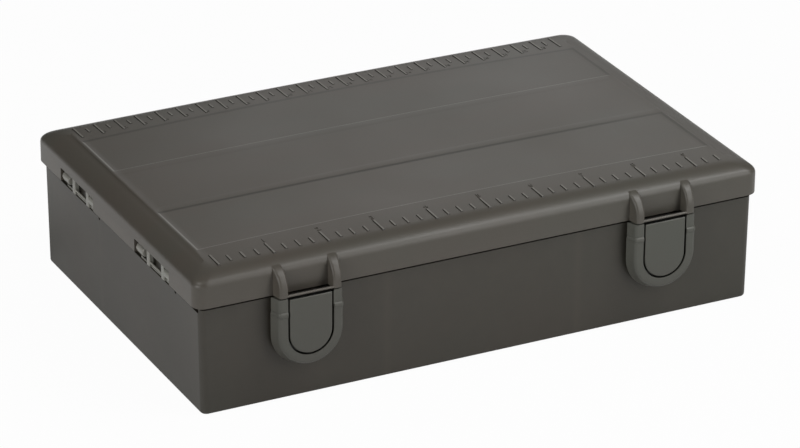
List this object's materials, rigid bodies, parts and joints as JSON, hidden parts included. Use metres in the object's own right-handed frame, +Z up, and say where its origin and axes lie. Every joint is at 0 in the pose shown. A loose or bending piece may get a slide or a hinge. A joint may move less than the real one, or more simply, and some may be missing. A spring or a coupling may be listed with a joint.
{
  "type": "fishing tackle box",
  "caption": "Flat rectangular plastic tackle box with a hinged lid, front snap latches, rulers on the lid and removable dividers inside.",
  "frame": {"origin": "on the surface the box stands on, below the middle of the closed box", "axes": "+X along the front towards the right, +Y from the front to the rear, +Z up"},
  "size_m": [0.2706, 0.1858, 0.0665],
  "materials": {
    "lid": "satin dark olive moulding with a fine grain",
    "base": "satin dark olive moulding",
    "latch": "satin olive moulding",
    "divider": "satin dark olive moulding",
    "clip": "satin grey olive moulding",
    "hinge_pin": "drawn wire"
  },
  "bodies": {
    "base": {"base": "base", "hinge_pin_left": "hinge_pin", "hinge_pin_right": "hinge_pin", "divider_long": "divider", "divider_front_left": "divider", "divider_front_right": "divider", "divider_rear_left": "divider", "divider_rear_right": "divider", "clip_left_front": "clip", "clip_left_rear": "clip", "clip_right_front": "clip", "clip_right_rear": "clip"},
    "lid": {"lid": "lid"},
    "latch_left": {"latch_rim_left": "latch", "latch_tongue_left": "latch"},
    "latch_right": {"latch_rim_right": "latch", "latch_tongue_right": "latch"}
  },
  "joints": [
    {"name": "lid_hinge", "type": "hinge", "parent": "base", "child": "lid", "pos_m": [0, 0.0902, 0.0505], "axis": [-1, 0, 0], "range_deg": [0, 110]},
    {"name": "latch_left_pivot", "type": "hinge", "parent": "lid", "child": "latch_left", "pos_m": [-0.08505, -0.0914, 0.0516], "axis": [-1, 0, 0], "range_deg": [0, 100]},
    {"name": "latch_right_pivot", "type": "hinge", "parent": "lid", "child": "latch_right", "pos_m": [0.08505, -0.0914, 0.0516], "axis": [-1, 0, 0], "range_deg": [0, 100]}
  ]
}
